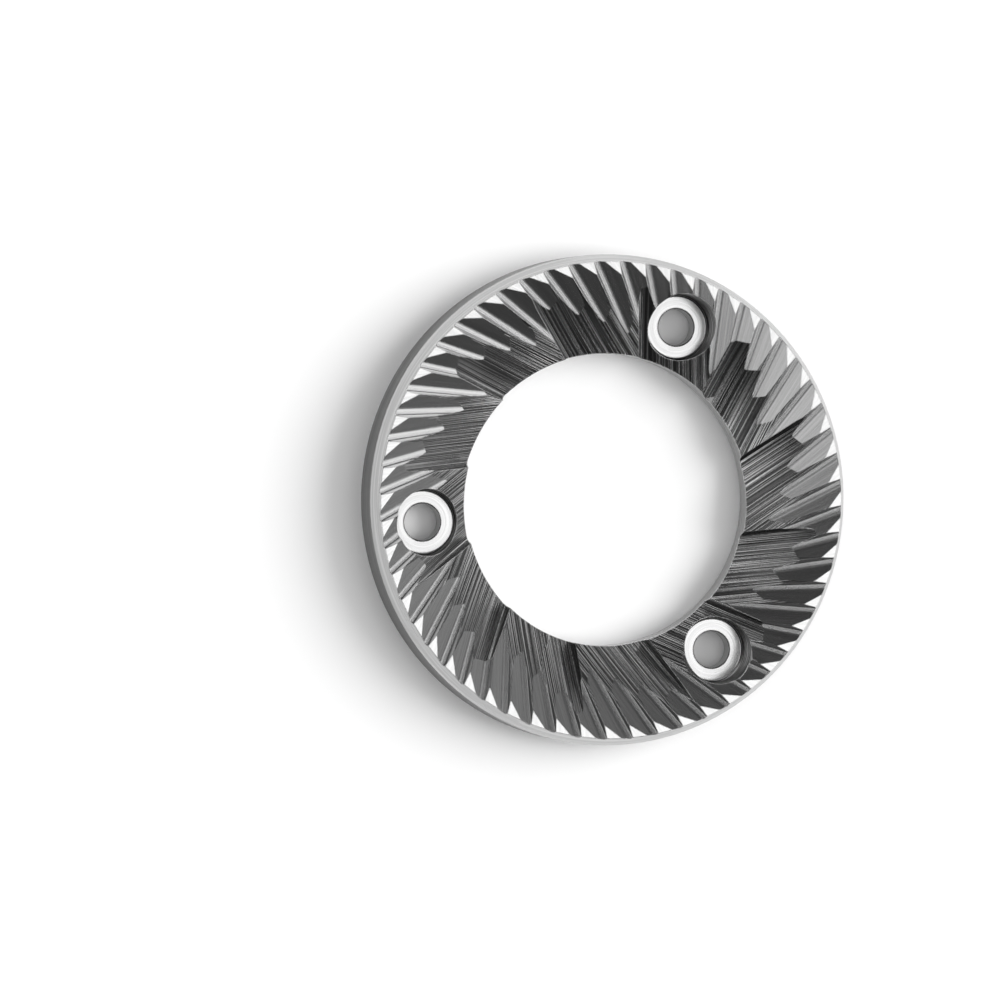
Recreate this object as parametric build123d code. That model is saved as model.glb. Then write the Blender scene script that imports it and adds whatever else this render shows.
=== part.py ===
from build123d import *
from math import cos, radians, sin, sqrt, tan
import os

# Flat coffee grinder burr: a ground steel ring with screw holes, coarse ramps and fine teeth.
# Millimetres. Origin in the middle of the flat back, +Z out of the toothed face,
# one screw hole on the +X axis.

# ring
outer_diameter = 64.0
bore_diameter = 38.2
thickness = 7.5
rim_bevel_width = 0.97
rim_bevel_height = 2.0
rim_edge_round = 0.35
back_edge_break = 0.3
bore_lead_in = 1.0

# screw holes, sunk so that the flat screw heads sit below the teeth
screw_count = 3
screw_circle_diameter = 49.2
screw_hole_diameter = 4.8
head_recess_diameter = 8.7
head_seat_height = 2.9
head_recess_corner = 0.35
hole_front_break = 0.15
hole_back_chamfer = 0.5

# coarse ramps: they take whole beans at the bore and feed them outward
ramp_count = 12
ramp_middle_angle = -4.67
ramp_depth_at_bore = 3.75
ramp_rise_outward = 0.44
ramp_fall_sideways = 0.148
ramp_fall_lost_outward = 0.0163
ramp_hollow = 0.004
ridge_axis_offset = 6.1
ridge_lean = 33.8
ridge_length = 8.0
ridge_wall_angle = 70.0
ridge_root_radius = 0.5

# fine teeth: V grooves running out over the rim bevel
tooth_count = 56
groove_axis_offset = 12.165
groove_direction = -13.42
groove_root_depth_at_rim = 0.15
groove_rise_outward = 0.187
groove_land_side_angle = 21.1
groove_crest_side_angle = 46.4
groove_root_radius = 0.3

# how far the cutting tools run past the metal
ramp_inner_overrun = 4.5
ramp_outer_overrun = 1.4
ridge_overlap = 0.6
clearance = 6.0

outer_radius = outer_diameter / 2
bore_radius = bore_diameter / 2
screw_circle_radius = screw_circle_diameter / 2
ramp_pitch = 360 / ramp_count
tool_top = thickness + clearance
ramp_end = bore_radius + (ramp_depth_at_bore + ramp_outer_overrun) / ramp_rise_outward
ridge_end = ramp_end * tan(radians(ridge_lean)) - ridge_axis_offset / cos(radians(ridge_lean))
ramp_side = ridge_end + clearance


def ring():
    """The turned blank: flat back, steep bevel at the front rim."""
    section = Polyline(
        (bore_radius + bore_lead_in, 0, 0),
        (outer_radius - back_edge_break, 0, 0),
        (outer_radius, 0, back_edge_break),
        (outer_radius, 0, thickness - rim_bevel_height),
        (outer_radius - rim_bevel_width, 0, thickness),
        (bore_radius, 0, thickness),
        (bore_radius, 0, bore_lead_in),
        close=True,
    )
    blank = revolve(make_face(section), Axis.Z)
    rim = blank.edges().filter_by(GeomType.CIRCLE)
    rim = rim.filter_by(lambda e: abs(e.radius - outer_radius) < 0.001)
    return fillet(rim.sort_by(Axis.Z)[-1], rim_edge_round)


def ramp_surface(x, y):
    """Height of the ramp floor, x along the ramp's middle line and y across it."""
    outward = x - bore_radius
    sideways = ramp_fall_sideways - ramp_fall_lost_outward * outward
    depth = ramp_depth_at_bore - ramp_rise_outward * outward + sideways * y
    return thickness - depth + ramp_hollow * y ** 2


def ridge_point(direction, along, aside=0.0):
    """Plan point on the ridge line that has this direction."""
    a = radians(direction)
    off = aside - ridge_axis_offset
    return along * cos(a) - off * sin(a), along * sin(a) + off * cos(a)


def ridge_crest(direction):
    """Height and rise of the ridge crest, read off the ramp that starts there."""
    inner = sqrt(bore_radius ** 2 - ridge_axis_offset ** 2)
    low = ramp_surface(*ridge_point(direction, inner))
    high = ramp_surface(*ridge_point(direction, inner + ridge_length))
    return inner, low, (high - low) / ridge_length


def ramp_section(x):
    """Upright section of the space above the ramp surface at the distance x from the axis."""
    side = ramp_side
    left = Vector(x, -side, ramp_surface(x, -side))
    right = Vector(x, side, ramp_surface(x, side))
    control = Vector(x, 0, ramp_surface(x, 0) - ramp_hollow * side ** 2)
    top_left = Vector(x, -side, tool_top)
    top_right = Vector(x, side, tool_top)
    edges = [
        Bezier(left, control, right),
        Line(right, top_right),
        Line(top_right, top_left),
        Line(top_left, left),
    ]
    return make_face(edges)


def beside_ridge(direction, wall_angle, aside, flip):
    """Room on one side of a plane that stands on a ridge line."""
    inner, low, rise = ridge_crest(ridge_lean - ramp_pitch)
    a = radians(direction)
    w = radians(wall_angle)
    x, y = ridge_point(direction, inner, aside)
    along = Vector(cos(a), sin(a), rise).normalized()
    up = Vector(-sin(a) * cos(w), cos(a) * cos(w), sin(w))
    plane = Plane((x, y, low), x_dir=along, z_dir=along.cross(up) * flip)
    width = 1.5 * outer_diameter
    block = Box(width, width, 2 * ramp_side, align=(Align.CENTER, Align.CENTER, Align.MIN))
    return plane * block


def ramp_cutter():
    """Space above one ramp; its floor twists from steep at the bore to level at the teeth."""
    inside = ramp_section(bore_radius - ramp_inner_overrun)
    outside = ramp_section(ramp_end)
    space = loft([inside, outside], ruled=True)
    space &= beside_ridge(ridge_lean, ridge_wall_angle, 0, 1)
    space &= beside_ridge(ridge_lean - ramp_pitch, 90, -ridge_overlap, -1)
    floor = space.faces().sort_by(Axis.Z)[0]
    wall = space.faces().sort_by(Axis.Y)[-1]
    root = [e for e in floor.edges() for f in wall.edges() if e.is_same(f)]
    return fillet(root, ridge_root_radius)


def groove_cutter():
    """Space above one tooth groove: a rounded V pushed along a rising line."""
    a = radians(groove_direction)
    rim = sqrt(outer_radius ** 2 - groove_axis_offset ** 2)
    start = sqrt(bore_radius ** 2 - groove_axis_offset ** 2) - clearance
    x = start * cos(a) + groove_axis_offset * sin(a)
    y = start * sin(a) - groove_axis_offset * cos(a)
    z = thickness - groove_root_depth_at_rim - groove_rise_outward * (rim - start)
    along = Vector(cos(a), sin(a), groove_rise_outward)
    across = Vector(-sin(a), cos(a), 0)
    side = tool_top - z
    left = (-side / tan(radians(groove_land_side_angle)), side)
    right = (side / tan(radians(groove_crest_side_angle)), side)
    section = make_face(Polyline((0, 0), right, left, close=True))
    section = fillet(section.vertices().sort_by(Axis.Y)[0], groove_root_radius)
    plane = Plane((x, y, z), x_dir=across, z_dir=along)
    return extrude(plane * section, (rim + clearance - start) * along.length)


def screw_cutter():
    """Through hole with a flat seated recess for the screw head."""
    r = screw_hole_diameter / 2
    head = head_recess_diameter / 2
    seat = head_seat_height
    flare = r + hole_back_chamfer + clearance
    corner = head_recess_corner
    profile = Polyline(
        (0, 0, -clearance),
        (flare, 0, -clearance),
        (r, 0, hole_back_chamfer),
        (r, 0, seat - hole_front_break),
        (r + hole_front_break, 0, seat),
        (head - corner, 0, seat),
        (head, 0, seat + corner),
        (head, 0, tool_top),
        (0, 0, tool_top),
        close=True,
    )
    return Pos(screw_circle_radius, 0, 0) * revolve(make_face(profile), Axis.Z)


def around(tool, count, first=0.0):
    """Equal copies of a tool round the axis."""
    return [Rot(0, 0, first + i * 360 / count) * tool for i in range(count)]


def burr():
    """The whole burr as one solid."""
    body = ring()
    body -= around(ramp_cutter(), ramp_count, ramp_middle_angle)
    body -= around(groove_cutter(), tooth_count)
    body -= around(screw_cutter(), screw_count)
    return body


os.makedirs("parts", exist_ok=True)
part = burr()
export_step(part, "parts/burr.step")
print("volume", round(part.volume, 1), "solids", len(part.solids()), "faces", len(part.faces()))
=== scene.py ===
# %% [markdown]
# # A flat coffee grinder burr in ground steel
#
# The burr is one ring of hardened steel. It is turned, drilled, milled and ground, and each of
# those steps leaves its own kind of line on the metal. This lesson loads the measured ring, lays
# a map of those lines over it, gives each kind of surface its own steel, and lights it the way
# shiny metal is lit: with a few large soft panels in a mostly dark room.

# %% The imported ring
import math

import bpy
import numpy as np
from mathutils import Matrix, Quaternion, Vector


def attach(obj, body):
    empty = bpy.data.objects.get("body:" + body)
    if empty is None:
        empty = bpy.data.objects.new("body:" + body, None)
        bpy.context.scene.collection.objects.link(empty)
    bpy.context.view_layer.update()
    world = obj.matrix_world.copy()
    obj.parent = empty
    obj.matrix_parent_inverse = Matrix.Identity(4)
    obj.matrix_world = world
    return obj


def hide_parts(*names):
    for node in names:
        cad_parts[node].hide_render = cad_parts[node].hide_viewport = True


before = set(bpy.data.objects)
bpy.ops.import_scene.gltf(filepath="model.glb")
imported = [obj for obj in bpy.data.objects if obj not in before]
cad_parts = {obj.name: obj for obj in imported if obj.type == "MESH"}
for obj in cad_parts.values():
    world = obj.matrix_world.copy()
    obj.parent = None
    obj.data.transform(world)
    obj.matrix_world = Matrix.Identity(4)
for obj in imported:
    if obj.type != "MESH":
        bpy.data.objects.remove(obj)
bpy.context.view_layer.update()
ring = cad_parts["burr"]
MM = 0.001

# %% [markdown]
# ## Camera
#
# A product picture of a flat ring is taken from well away with a long lens, so that the ring
# stays round. The camera here looks almost straight down on the teeth. It could be aimed with a
# Track To constraint; here its tilt against the ring's axis is a known angle, so the turn is
# written out as two rotations: the tilt, and then the turn of the ring about its own axis.

# %% Camera
VIEW_TILT = math.radians(14.2597)
TILT_TOWARDS = math.radians(-3.6284)
RING_TURN = math.radians(66.6676)
# from the camera to the middle of the ring's back: right, up, and minus the way ahead
VIEW_OFFSET = Vector((12.90, 0.086, -731.03)) * MM
LENS_MM = 200.455
SENSOR_MM = 36
NEAREST_SEEN = 0.05
FARTHEST_SEEN = 20

tilt = Quaternion((-math.sin(TILT_TOWARDS), math.cos(TILT_TOWARDS), 0), VIEW_TILT)
unturn = Quaternion((0, 0, 1), -RING_TURN)
camera = bpy.data.objects.new("camera", bpy.data.cameras.new("camera"))
bpy.context.scene.collection.objects.link(camera)
camera.data.lens = LENS_MM
camera.data.sensor_width = SENSOR_MM
camera.data.clip_start = NEAREST_SEEN
camera.data.clip_end = FARTHEST_SEEN
camera.rotation_mode = "QUATERNION"
camera.rotation_quaternion = unturn @ tilt.inverted()
camera.location = unturn @ (tilt.inverted() @ -VIEW_OFFSET)
bpy.context.scene.camera = camera
bpy.context.scene.view_settings.view_transform = "Standard"
print("camera", round(camera.location.length, 3), "m from the ring's back")

# %% [markdown]
# ## Which groove, ramp and screw a point belongs to
#
# On the real ring every groove and every ramp is a copy of the first, turned about the axis. So
# there is no need to look for them in the mesh: the angle of a point, and how far the straight
# cut passes beside the axis, tell which copy it lies in. One could also pick the faces by hand in
# Edit Mode, but that would be lost as soon as the ring is measured again.

# %% Copies round the axis
# a heading is the direction of a cut in degrees, an offset how far in mm it passes the axis
TEETH = 56
GROOVE_HEADING = -13.42
GROOVE_OFFSET = 12.165
SHALLOW_SHARE = 0.72  # of the pitch of the teeth; the steep side of a groove takes the rest
RAMPS = 12
FIRST_RAMP = -4.67
RIDGE_HEADING = 33.8 + FIRST_RAMP
RIDGE_OFFSET = 6.1
RIDGE_SLACK = 0.01  # of the pitch of the ramps, so that a ridge's wall stays with its ridge
SCREWS = 3
SCREW_CIRCLE = 24.6


def groove_of(points):
    """Direction of the tooth groove that each point lies in, in degrees."""
    r = np.hypot(points[:, 0], points[:, 1])
    along = np.degrees(np.arcsin(GROOVE_OFFSET / np.maximum(r, GROOVE_OFFSET)))
    pitch = 360 / TEETH
    lead = np.degrees(np.arctan2(points[:, 1], points[:, 0])) + along - GROOVE_HEADING
    return np.floor(lead / pitch + SHALLOW_SHARE) * pitch + GROOVE_HEADING


def ridge_of(points):
    """Direction of the ridge that closes the ramp under each point, in degrees."""
    r = np.hypot(points[:, 0], points[:, 1])
    along = np.degrees(np.arcsin(RIDGE_OFFSET / r))
    pitch = 360 / RAMPS
    lead = np.degrees(np.arctan2(points[:, 1], points[:, 0])) + along - RIDGE_HEADING
    return np.ceil(lead / pitch - RIDGE_SLACK) * pitch + RIDGE_HEADING


def nearest_screw(points):
    """How far the nearest screw is from each point, and where its axis stands."""
    angles = np.arange(SCREWS) * 2 * math.pi / SCREWS
    axes = SCREW_CIRCLE * np.stack([np.cos(angles), np.sin(angles)], 1)
    away = np.linalg.norm(points[:, None, :2] - axes[None], axis=2)
    return away.min(1), axes[away.argmin(1)]


skin = ring.data
centres = np.array([polygon.center for polygon in skin.polygons]) / MM
groove_direction = groove_of(centres)
ridge_direction = ridge_of(centres)
screw_away, screw_axes = nearest_screw(centres)
print("grooves", len(np.unique(groove_direction.round(2) % 360)), "from", len(centres), "faces")

# %% [markdown]
# ## What each face of the ring is
#
# The CAD mesh is one skin with no names on its faces. A person sorts them at a glance: flat lands
# at the rim, tooth grooves, coarse ramps, turned edges, screw recesses. The same can be done from
# numbers: where the middle of a face lies and which way it looks. A groove's faces all lie along
# the travel of its cutter, a recess lies near a screw, and a land is level at the top. What is
# left belongs to the ramps, and there the steep faces are the walls of the ridges.

# %% Faces of the ring
OUTER = 32.0
BORE = 19.1
TOP = 7.5
RECESS = 4.35
SCREW_HOLE = 2.4
GROOVE_RISE = 0.187
TRAVEL_SLACK = 0.012  # the most that a groove face's normal may point along the cutter's travel
# how far a face leans from level, in degrees
LEVEL = 0.5
SEAT_LEAN = 5
GROOVE_LEAST, GROOVE_MOST = 8, 52
RIDGE_WALL = 42
RIM_BEVEL = 55
UPRIGHT = 80

LAND, GROOVE, RAMP, RIDGE, TURNED, RIM, RECESS_WALL, SEAT_FACE, BACK = range(9)
normals = np.array([polygon.normal for polygon in skin.polygons])
radius = np.hypot(centres[:, 0], centres[:, 1])
lean = np.degrees(np.arccos(np.clip(normals[:, 2], -1, 1)))
pushed = np.radians(groove_direction)
cut_travel = np.stack([np.cos(pushed), np.sin(pushed), np.full(len(pushed), GROOVE_RISE)], 1)
along_travel = np.abs((normals * cut_travel).sum(1))

# the small amounts beside a size let in faces whose middle lies just off it
kind = np.where(lean > RIDGE_WALL, RIDGE, RAMP)
kind[(along_travel < TRAVEL_SLACK) & (lean > GROOVE_LEAST) & (lean < GROOVE_MOST)] = GROOVE
kind[(lean < LEVEL) & (centres[:, 2] > TOP - 0.01)] = LAND
kind[(radius > OUTER - 1) & (lean > RIM_BEVEL)] = TURNED
kind[(radius > OUTER - 0.1) & (lean > UPRIGHT)] = RIM
kind[(radius < BORE + 0.05) & (lean > UPRIGHT)] = TURNED
kind[screw_away < RECESS + 0.02] = RECESS_WALL
kind[(screw_away < RECESS + 0.02) & (lean < SEAT_LEAN)] = SEAT_FACE
kind[(screw_away < SCREW_HOLE + 0.02) & (lean > UPRIGHT)] = TURNED
kind[normals[:, 2] < -0.5] = BACK
print("faces of each kind", np.bincount(kind).tolist())

# %% [markdown]
# ## The ring to be dressed
#
# Colour and shine go on a copy of the ring, because the CAD part itself stays as it is. Blender
# keeps a mesh's map and other surface values at the corners of its faces, so that two faces that
# share an edge can still carry different values there. The corners are read into one array here,
# together with the face that each belongs to.

# %% A copy of the skin
piece = bpy.data.objects.new("ground_ring", skin.copy())
bpy.context.scene.collection.objects.link(piece)
mesh = piece.data
corner_face = np.repeat(np.arange(len(mesh.polygons)), 3)
corner_vertex = np.zeros(len(mesh.loops), int)
mesh.loops.foreach_get("vertex_index", corner_vertex)
vertices = np.zeros(len(mesh.vertices) * 3)
mesh.vertices.foreach_get("co", vertices)
corners = vertices.reshape(-1, 3)[corner_vertex] / MM
corner_kind = kind[corner_face]
print("copy", len(mesh.polygons), "faces and", len(corners), "corners")

# %% [markdown]
# ## A map of the grinding lines
#
# Every cutter leaves lines along its own travel: straight along each groove, straight along each
# ramp's ridge, round and round on what was turned. A texture that is stretched along one axis of a
# UV map draws such lines, if the map's first axis follows the tool. So the map isn't an unwrapping
# for paint: it gives each corner of the mesh its distance along the tool's travel and its distance
# across it, in millimetres.


# %% Grinding map
def straight_lines(points, direction):
    """Distance along and across straight cutter travel that runs in these directions."""
    a = np.radians(direction)
    along = points[:, 0] * np.cos(a) + points[:, 1] * np.sin(a)
    across = points[:, 1] * np.cos(a) - points[:, 0] * np.sin(a)
    return np.stack([along + direction, across], 1)


def round_lines(points, axes, start):
    """Distance along and across turned lines about upright axes."""
    x = points[:, 0] - axes[:, 0]
    y = points[:, 1] - axes[:, 1]
    r = np.hypot(x, y)
    angle = np.arctan2(y, x)
    angle = start + (angle - start + math.pi) % (2 * math.pi) - math.pi
    return np.stack([angle * r, r + points[:, 2]], 1)


lines = straight_lines(corners, ridge_direction[corner_face])
grooves = straight_lines(corners, groove_direction[corner_face])
face_angle = np.arctan2(centres[:, 1], centres[:, 0])[corner_face]
turned = round_lines(corners, np.zeros((len(corners), 2)), face_angle)
about_screw = centres[:, :2] - screw_axes
screw_angle = np.arctan2(about_screw[:, 1], about_screw[:, 0])[corner_face]
recessed = round_lines(corners, screw_axes[corner_face], screw_angle)

in_groove = corner_kind == GROOVE
is_turned = np.isin(corner_kind, (TURNED, RIM, BACK))
in_recess = np.isin(corner_kind, (RECESS_WALL, SEAT_FACE))
for there, travel in ((in_groove, grooves), (is_turned, turned), (in_recess, recessed)):
    lines[there] = travel[there]

for layer in list(mesh.uv_layers):
    mesh.uv_layers.remove(layer)
grind_map = mesh.uv_layers.new(name="grind")
grind_map.data.foreach_set("uv", lines.astype(np.float32).ravel())
print("grinding map", len(mesh.loops), "corners")

# %% [markdown]
# ## Values for the hollow of each groove
#
# A grinding wheel has a round edge, so a tooth groove isn't a sharp V: its steep side is slightly
# hollow, and light slides across it softly. The mesh has the right outline but flat sides. Three
# values are stored on the mesh for the shader: which way the groove leans sideways, which way it
# looks at its root, and how far each corner lies from that root. With them the shader can turn the
# surface's direction little by little, which a real curve would need thousands of faces for. A
# fourth value, the distance from the bore, is for the lines on the ramps.


# %% Hollow of the grooves
def store(name, layout, field, values):
    """Keeps one value for each corner on the mesh, where a material can read it by its name."""
    layer = mesh.attributes.new(name, layout, "CORNER")
    layer.data.foreach_set(field, values.astype(np.float32).ravel())


heading = np.radians(groove_direction[corner_face])
east, north, level = np.cos(heading), np.sin(heading), 0 * heading
sideways = np.stack([-north, east, level], 1)
root_up = np.stack([-GROOVE_RISE * east, -GROOVE_RISE * north, level + 1], 1)
from_root = (corners * sideways).sum(1) + GROOVE_OFFSET
from_bore = np.hypot(corners[:, 0], corners[:, 1]) - BORE
store("sideways", "FLOAT_VECTOR", "vector", sideways)
store("root_up", "FLOAT_VECTOR", "vector", root_up)
store("from_root", "FLOAT", "value", from_root)
store("from_bore", "FLOAT", "value", from_bore)
print("groove sides reach", from_root[in_groove].min().round(2), from_root[in_groove].max().round(2))

# %% [markdown]
# ## Helpers for nodes
#
# A material is a graph of nodes. It could be drawn by hand in the Shader Editor, but nine steels
# that differ only in their numbers are easier to keep alike when a script builds them. These
# helpers each add one node, set its numbers and join it to what comes before.


# %% Helpers for nodes
def new_node(tree, kind_name, place, **settings):
    """Adds a node and sets its properties."""
    node = tree.nodes.new(kind_name)
    node.location = place
    for name, value in settings.items():
        setattr(node, name, value)
    return node


def ranged(tree, value, low, high, to_low, to_high, place):
    """A value moved from one range to another, held at the ends."""
    node = new_node(tree, "ShaderNodeMapRange", place)
    node.inputs["From Min"].default_value = low
    node.inputs["From Max"].default_value = high
    node.inputs["To Min"].default_value = to_low
    node.inputs["To Max"].default_value = to_high
    tree.links.new(value, node.inputs["Value"])
    return node.outputs["Result"]


def number_maths(tree, operation, first, second, place):
    """One step of arithmetic between two values."""
    node = new_node(tree, "ShaderNodeMath", place, operation=operation)
    tree.links.new(first, node.inputs[0])
    tree.links.new(second, node.inputs[1])
    return node.outputs[0]


def vector_maths(tree, operation, first, second, place):
    """One step of vector arithmetic."""
    node = new_node(tree, "ShaderNodeVectorMath", place, operation=operation)
    tree.links.new(first, node.inputs[0])
    if second is not None:
        tree.links.new(second, node.inputs["Scale"] if operation == "SCALE" else node.inputs[1])
    return node


def stored(tree, name, output, place):
    """A value that was stored on the mesh under this name."""
    return new_node(tree, "ShaderNodeAttribute", place, attribute_name=name).outputs[output]


helpers = (new_node, ranged, number_maths, vector_maths, stored)
print("node helpers", [helper.__name__ for helper in helpers])

# %% [markdown]
# ## Lines of a cutter
#
# The marks of a grinding wheel are fine parallel scratches, each a little longer or shorter than
# the next. A picture of brushed metal would blur up close and repeat. A noise doesn't: squeezed
# across the lines and stretched along them, in the millimetres of the grinding map, it draws
# scratches of any size, and each groove shows its own stretch of them.

# %% Lines of a cutter
NOISE_ROUGHNESS = 0.6


def stretched_noise(tree, uv, across_mm, along_mm, detail, place):
    """Noise in the grinding map, with features of this size across and along the lines."""
    mapping = new_node(tree, "ShaderNodeMapping", place)
    mapping.inputs["Scale"].default_value = (1 / along_mm, 1 / across_mm, 1)
    noise = new_node(tree, "ShaderNodeTexNoise", (place[0] + 200, place[1]), noise_dimensions="2D")
    noise.inputs["Scale"].default_value = 1
    noise.inputs["Detail"].default_value = detail
    noise.inputs["Roughness"].default_value = NOISE_ROUGHNESS
    tree.links.new(uv, mapping.inputs["Vector"])
    tree.links.new(mapping.outputs["Vector"], noise.inputs["Vector"])
    return noise.outputs["Fac"]


print("noise roughness", NOISE_ROUGHNESS)

# %% [markdown]
# ## The hollow section
#
# Across a groove the surface first leans one way, levels out at the root, and climbs the steep
# side in a soft bend. A Float Curve holds that section as a few points that a hand can still
# drag: the distance from the root on one axis, the slope on the other. A formula would be exact
# for one wheel only, and the points can follow any. The slope tips the surface's direction at the
# root sideways, and the result is turned from the ring's own axes to the world's for the shader.

# %% The hollow section
# distance from the root in mm, and how far the surface's direction is tipped sideways there
HOLLOW_SECTION = [
    (-0.70, 0.386), (-0.36, 0.16), (0.0, 0.0), (0.14, -0.07), (0.30, -0.66), (0.50, -0.84)
]


def section_curve(tree, away, place):
    """The hollow section as a curve: from the distance to the root, how far to tip sideways."""
    start, end = HOLLOW_SECTION[0][0], HOLLOW_SECTION[-1][0]
    steepest, gentlest = HOLLOW_SECTION[-1][1], HOLLOW_SECTION[0][1]
    x, y = place
    section = new_node(tree, "ShaderNodeFloatCurve", place)
    curve = section.mapping.curves[0]
    spots = [
        ((across - start) / (end - start), (slope - steepest) / (gentlest - steepest))
        for across, slope in HOLLOW_SECTION
    ]
    curve.points[0].location, curve.points[-1].location = spots[0], spots[-1]
    for spot in spots[1:-1]:
        curve.points.new(*spot)
    for point in curve.points:
        point.handle_type = "AUTO_CLAMPED"
    section.mapping.update()
    tree.links.new(ranged(tree, away, start, end, 0, 1, (x - 150, y)), section.inputs["Value"])
    return ranged(tree, section.outputs["Value"], 0, 1, steepest, gentlest, (x + 150, y))


def hollow_normal(tree):
    """Direction of a groove's surface as if its section were hollow."""
    side = stored(tree, "sideways", "Vector", (-1700, -700))
    up = stored(tree, "root_up", "Vector", (-1700, -900))
    away = stored(tree, "from_root", "Fac", (-1700, -1100))
    lean_out = section_curve(tree, away, (-1350, -1100))
    push = vector_maths(tree, "SCALE", side, lean_out, (-1050, -900))
    both = vector_maths(tree, "ADD", up, push.outputs[0], (-850, -900))
    turned_out = new_node(
        tree, "ShaderNodeVectorTransform", (-650, -900),
        vector_type="NORMAL", convert_from="OBJECT", convert_to="WORLD",
    )
    tree.links.new(both.outputs[0], turned_out.inputs[0])
    return vector_maths(tree, "NORMALIZE", turned_out.outputs[0], None, (-450, -900)).outputs[0]


print("hollow section", len(HOLLOW_SECTION), "points")

# %% [markdown]
# ## Rubbed edges
#
# No real edge is quite sharp: handling and grinding leave it a little round, and it flashes
# white. Cutting that round into the mesh would need very small faces along every edge. The Bevel
# node rounds only the surface's direction near an edge, and where that direction departs from
# the face's own, the steel is taken as rubbed. So one node gives the soft edge, and the mask for
# its brighter, smoother metal as well.

# %% Rounded edges and a painted edge highlight
EDGE_ROUND = 0.17 * MM
EDGE_SAMPLES = 4
STILL_FLAT, FULL_EDGE_HIGHLIGHT = 0.99, 0.93  # likeness of the rounded and the flat direction
# painted edge highlight: how much the steel mirrors and how rough it is along its edges
EDGE_HIGHLIGHT_MIRROR = 0.97
EDGE_HIGHLIGHT_ROUGHNESS = 0.10


def rounded_edge_highlight(tree):
    """The rounded direction, the flat one, and how strongly the painted edge highlight shows."""
    edge = new_node(tree, "ShaderNodeBevel", (-800, -600), samples=EDGE_SAMPLES)
    edge.inputs["Radius"].default_value = EDGE_ROUND
    rounded = edge.outputs["Normal"]
    flat = new_node(tree, "ShaderNodeNewGeometry", (-1000, -750)).outputs["Normal"]
    facing = vector_maths(tree, "DOT_PRODUCT", rounded, flat, (-600, -600))
    # mask of the painted edge highlight, from how far the rounded direction departs from the flat
    # one
    edge_highlight = ranged(tree, facing.outputs["Value"], STILL_FLAT, FULL_EDGE_HIGHLIGHT, 0, 1, (-400, -600))
    return rounded, flat, edge_highlight


print("edges rounded by", EDGE_ROUND / MM, "mm")

# %% [markdown]
# ## How bright the steel mirrors
#
# Bare steel has no colour of its own under the shine: it is a metallic surface, and its base
# colour says how much it mirrors. The crests of the grinding lines mirror more than the scratches
# between them. That could be two materials under a painted mask, but then every scratch would
# have to be painted; the noise is the mask here. On the ramps the bright lines are made strongest
# at the bore and fade towards the teeth: a painted sheen, for the way the ground lines spread the
# reflection. The stored distance from the bore turns them down.

# %% Mirror of the lines
DARKEST_LINE, BRIGHTEST_LINE = 0.50, 0.60  # of the noise
# painted sheen: over this span from the bore the ramps' bright lines fade, down to this share at the
# teeth
SHEEN_FADE_MM = (1.0, 8.0)  # from the bore
SHEEN_AT_TEETH = 0.35


def grey(value):
    """A grey as red, green, blue and alpha."""
    return (value, value, value, 1)


def blended(tree, data_type, first, second, share, place):
    """Mixes a value that is joined in towards one that is the same everywhere."""
    node = new_node(tree, "ShaderNodeMix", place, data_type=data_type)
    node.inputs["B"].default_value = second
    tree.links.new(first, node.inputs["A"])
    tree.links.new(share, node.inputs["Factor"])
    return node.outputs["Result"]


def lined_tone(tree, fine, mirror, dark, sheen_fade):
    """Grey of the lines: this dark between them, and mirroring this much on their crests."""
    tone = new_node(tree, "ShaderNodeMix", (-300, 200), data_type="RGBA")
    tone.inputs["A"].default_value = grey(dark)
    tone.inputs["B"].default_value = grey(mirror)
    seen = ranged(tree, fine, DARKEST_LINE, BRIGHTEST_LINE, 0, 1, (-600, 200))
    # painted sheen: the lines dim with the distance from the bore
    if sheen_fade:
        outward = stored(tree, "from_bore", "Fac", (-1300, 500))
        sheen_kept = ranged(tree, outward, *SHEEN_FADE_MM, 1, SHEEN_AT_TEETH, (-900, 400))
        seen = number_maths(tree, "MULTIPLY", seen, sheen_kept, (-450, 350))
    tree.links.new(seen, tone.inputs["Factor"])
    return tone.outputs["Result"]


print("lines fade from", SHEEN_FADE_MM[0], "to", SHEEN_FADE_MM[1], "mm outside the bore")

# %% [markdown]
# ## One ground steel
#
# What tells one machined face from another is how rough it is and which way its lines run. One
# function makes them all from the parts above. The fine noise is read as the tone and as a faint
# height, a broader one as patches of roughness, and the painted edge highlight goes over both. The
# height goes through a Bump node: scratches a tenth of a millimetre wide, cut into the mesh, would
# need millions of faces.

# %% One ground steel
FINE_DETAIL, BROAD_DETAIL = 0.6, 2
BROADER, LONGER = 3, 1.5  # patches of roughness, against the fine lines
SMOOTHEST_PATCH, ROUGHEST_PATCH = 0.35, 0.65  # of the noise


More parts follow.
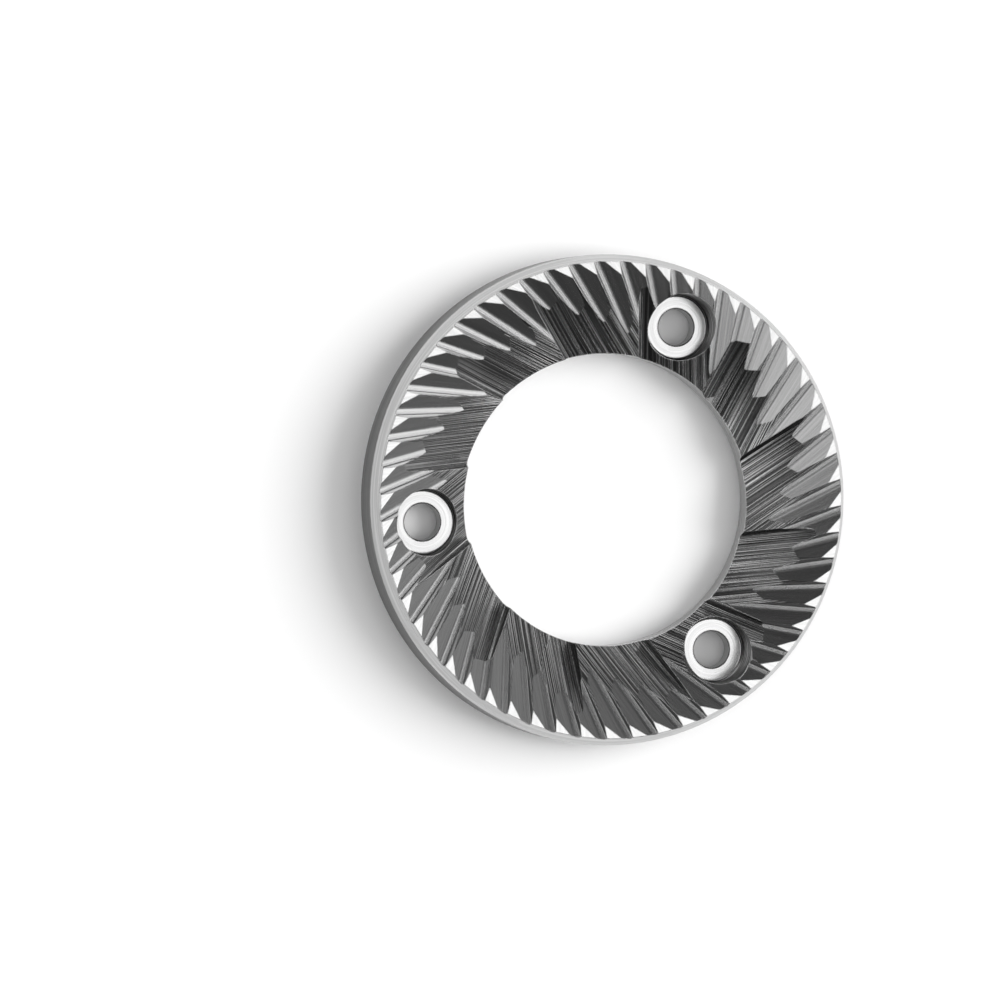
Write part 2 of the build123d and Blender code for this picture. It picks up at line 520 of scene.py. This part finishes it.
def ground_steel(
    name, mirror, dark, rough, rough_spread, line_mm, run_mm, height_mm, hollow=False, sheen_fade=False
):
    """Steel with cutter lines: how it mirrors, how rough it is, and the size of its lines."""
    material = bpy.data.materials.new(name)
    material.use_nodes = True
    tree = material.node_tree
    shader = tree.nodes["Principled BSDF"]
    shader.inputs["Metallic"].default_value = 1
    uv = new_node(tree, "ShaderNodeUVMap", (-1300, 0), uv_map="grind").outputs["UV"]
    fine = stretched_noise(tree, uv, line_mm, run_mm, FINE_DETAIL, (-1100, 0))
    patch_mm, patch_run_mm = line_mm * BROADER, run_mm * LONGER
    broad = stretched_noise(tree, uv, patch_mm, patch_run_mm, BROAD_DETAIL, (-1100, -300))
    rounded, flat, edge_highlight = rounded_edge_highlight(tree)

    tone = lined_tone(tree, fine, mirror, dark, sheen_fade)
    # painted edge highlight: near edges the tone turns to a bright mirror, and the roughness turns
    # smooth
    colour = blended(tree, "RGBA", tone, grey(EDGE_HIGHLIGHT_MIRROR), edge_highlight, (-100, 200))
    tree.links.new(colour, shader.inputs["Base Color"])

    patches = (SMOOTHEST_PATCH, ROUGHEST_PATCH, rough, rough + rough_spread)
    spread = ranged(tree, broad, *patches, (-600, -100))
    blur = blended(tree, "FLOAT", spread, EDGE_HIGHLIGHT_ROUGHNESS, edge_highlight, (-100, -50))
    tree.links.new(blur, shader.inputs["Roughness"])

    surface = rounded
    if hollow:
        change = vector_maths(tree, "SUBTRACT", rounded, flat, (-300, -800)).outputs[0]
        surface = vector_maths(tree, "ADD", hollow_normal(tree), change, (-200, -900)).outputs[0]
    bump = new_node(tree, "ShaderNodeBump", (-100, -400))
    bump.inputs["Strength"].default_value = 1
    bump.inputs["Distance"].default_value = height_mm * MM
    tree.links.new(fine, bump.inputs["Height"])
    tree.links.new(surface, bump.inputs["Normal"])
    tree.links.new(bump.outputs["Normal"], shader.inputs["Normal"])
    return material


print("patches are", BROADER, "times as wide as the lines")

# %% [markdown]
# ## Nine steels
#
# The flat lands are lapped, so they mirror a panel evenly. The grooves look finely ground, and the
# ramps coarsely, with strong bright lines. The ridges, the turned edges and the bored walls show
# plainer cutter marks. The rim's side is given darker steel than the other turned faces: painted
# shade, for the shadowed table that it mirrors. One material with a mask for each place could hold
# them all, but with a slot for each kind of face, a change to one steel leaves the others alone.
# The dressed copy then takes the CAD part's place.

# %% Nine steels
# name; mirror of the crests and between them; roughness and its spread; then in mm the width of a
# line, its run and its height
steels = {
    LAND: ground_steel("lapped_land", 0.82, 0.78, 0.20, 0.05, 0.2, 4, 0.0005),
    GROOVE: ground_steel("ground_groove", 0.63, 0.58, 0.22, 0.05, 0.12, 12, 0.0012, hollow=True),
    # the ramps' lines fade from the bore outwards: painted sheen
    RAMP: ground_steel("ground_ramp", 0.96, 0.16, 0.18, 0.10, 0.105, 34, 0.05, sheen_fade=True),
    RIDGE: ground_steel("ground_ridge", 0.36, 0.18, 0.20, 0.08, 0.12, 9, 0.010),
    TURNED: ground_steel("turned_edge", 0.56, 0.46, 0.26, 0.08, 0.12, 20, 0.002),
    # painted shade: the rim's side is darker than the turned edge, for the shadowed table that it
    # mirrors
    RIM: ground_steel("turned_rim_painted_shade", 0.30, 0.20, 0.34, 0.10, 0.14, 20, 0.006),
    RECESS_WALL: ground_steel("bored_wall", 0.75, 0.07, 0.30, 0.10, 0.15, 9, 0.020),
    SEAT_FACE: ground_steel("faced_seat", 0.82, 0.76, 0.22, 0.05, 0.14, 9, 0.0010),
    BACK: ground_steel("ground_back", 0.62, 0.50, 0.30, 0.1, 0.14, 12, 0.004),
}
mesh.materials.clear()
for number in sorted(steels):
    mesh.materials.append(steels[number])
mesh.polygons.foreach_set("material_index", kind.astype(np.int32))
mesh.update()
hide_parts("burr")
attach(piece, "root")
print("materials", [material.name for material in mesh.materials])

# %% [markdown]
# ## Table
#
# The ring lies on a plain white sheet. A big flat plane is enough, because a curved backdrop would
# only show in views from low down. The sheet has no gloss, so the lamps leave no bright spot on
# it, and it catches the ring's shadow.

# %% Table
TABLE_SIDE = 30.0
TABLE_ROUGHNESS = 0.9
bpy.ops.mesh.primitive_plane_add(size=TABLE_SIDE)
table = bpy.context.object
table.name = "table"
table_paint = bpy.data.materials.new("table_paint")
table_paint.use_nodes = True
paint = table_paint.node_tree.nodes["Principled BSDF"]
paint.inputs["Base Color"].default_value = (1, 1, 1, 1)
paint.inputs["Roughness"].default_value = TABLE_ROUGHNESS
paint.inputs["Specular IOR Level"].default_value = 0.0
table.data.materials.append(table_paint)
print("table", TABLE_SIDE, "m wide")

# %% [markdown]
# ## Room
#
# Metal shows what is round it, so the room is the greater part of how it looks. Real product
# pictures are taken between black cards and white ones. Here the room itself is painted instead:
# it is dark overhead, and glows only low down, towards the picture's top and its right. Then the
# slanted faces of the teeth go from black to pale round the ring. The Mapping node turns the room
# with the ring, so that "right" means the picture's right.

# %% Room
GLOW_ENDS = (0.22, 0.54)  # height on a ball round the ring, from 0 at the table to 1 overhead
GLOW = 1.25
TOP_REACH = (0.25, 0.85)  # the same ball, up the picture
RIGHT_REACH = (0.35, 0.85)  # the same ball, across the picture
TOP_GLOW = (0.05, 1.0)
RIGHT_GLOW = (0.0, 0.5)
DIM_LIGHT = (0.045, 0.16)  # what is left everywhere, at the left and at the right

room = bpy.data.worlds.new("room")
bpy.context.scene.world = room
room.use_nodes = True
walls = room.node_tree
look = new_node(walls, "ShaderNodeTexCoord", (-1300, 0))
turn = new_node(walls, "ShaderNodeMapping", (-1100, 0))
turn.inputs["Rotation"].default_value = (0, 0, RING_TURN)
split = new_node(walls, "ShaderNodeSeparateXYZ", (-900, 0))
walls.links.new(look.outputs["Generated"], turn.inputs["Vector"])
walls.links.new(turn.outputs["Vector"], split.inputs["Vector"])
across, up, high = (split.outputs[axis] for axis in "XYZ")
low = ranged(walls, high, *GLOW_ENDS, GLOW, 0.0, (-600, 200))
top_side = ranged(walls, up, *TOP_REACH, *TOP_GLOW, (-600, -50))
right_side = ranged(walls, across, *RIGHT_REACH, *RIGHT_GLOW, (-600, -300))
dim = ranged(walls, across, *RIGHT_REACH, *DIM_LIGHT, (-600, -550))
sides = number_maths(walls, "MAXIMUM", top_side, right_side, (-400, -150))
glow = number_maths(walls, "MULTIPLY", low, sides, (-250, 50))
room_light = number_maths(walls, "ADD", glow, dim, (-100, 0))
walls.links.new(room_light, walls.nodes["Background"].inputs["Color"])
print("room", len(walls.nodes), "nodes")

# %% [markdown]
# ## Lamps
#
# Three soft panels are lit for the steel. The first hangs where the flat lands mirror it, a little
# off the ring's axis, and turns them white. The other two, at the picture's left and right, lie
# where the sides of the teeth mirror them. A spot lamp would only give points of glare. The white
# table asks for more light than the panels give, and two far lamps add it; the steel doesn't
# mirror those, or the whole ring would turn pale.

# %% Lamps
PANEL_AWAY = 1.2


def direction(azimuth_deg, tilt_deg):
    """Unit vector at this azimuth from the picture's right and this tilt from the ring's axis."""
    a = math.radians(azimuth_deg) - RING_TURN
    t = math.radians(tilt_deg)
    return Vector((math.sin(t) * math.cos(a), math.sin(t) * math.sin(a), math.cos(t)))


def aimed(lamp, away_from):
    """Turns a lamp to shine against this direction, with its width along the picture's width."""
    right = direction(0, 90)
    width_axis = (right - away_from * right.dot(away_from)).normalized()
    axes = Matrix((width_axis, away_from.cross(width_axis), away_from)).transposed()
    lamp.rotation_mode = "QUATERNION"
    lamp.rotation_quaternion = axes.to_quaternion()


def panel_side(angle_deg):
    """Length of a panel that is seen this wide from the ring."""
    return 2 * PANEL_AWAY * math.tan(math.radians(angle_deg / 2))


def panel(name, azimuth_deg, tilt_deg, wide_deg, high_deg, radiance):
    """A soft panel aimed at the ring, as wide and high as these angles; 1 mirrors as white."""
    light = bpy.data.lights.new(name, "AREA")
    light.shape = "RECTANGLE"
    light.size = panel_side(wide_deg)
    light.size_y = panel_side(high_deg)
    light.energy = radiance * math.pi * light.size * light.size_y
    lamp = bpy.data.objects.new(name, light)
    bpy.context.scene.collection.objects.link(lamp)
    lamp.location = direction(azimuth_deg, tilt_deg) * PANEL_AWAY
    aimed(lamp, direction(azimuth_deg, tilt_deg))
    return lamp


def far_lamp(name, azimuth_deg, tilt_deg, spread_deg, strength):
    """A lamp far off that lights the table but isn't mirrored in the steel."""
    lamp = bpy.data.objects.new(name, bpy.data.lights.new(name, "SUN"))
    bpy.context.scene.collection.objects.link(lamp)
    lamp.data.energy = strength
    lamp.data.angle = math.radians(spread_deg)
    aimed(lamp, direction(azimuth_deg, tilt_deg))
    lamp.visible_glossy = False
    return lamp


# name, azimuth and tilt in degrees; then a panel's width, height and radiance, or a far lamp's
# spread and strength
lamps = [
    panel("top_panel", 343, 13.6, 28, 28, 1.28),
    panel("left_panel", 173, 24, 20, 39, 0.88),
    panel("right_panel", 345, 35, 13, 36, 1.5),
    far_lamp("right_lamp", 8, 58, 50, 2.9),
    far_lamp("fill_lamp", 0, 0, 140, 0.95),
]
print("lamps", [lamp.name for lamp in lamps])
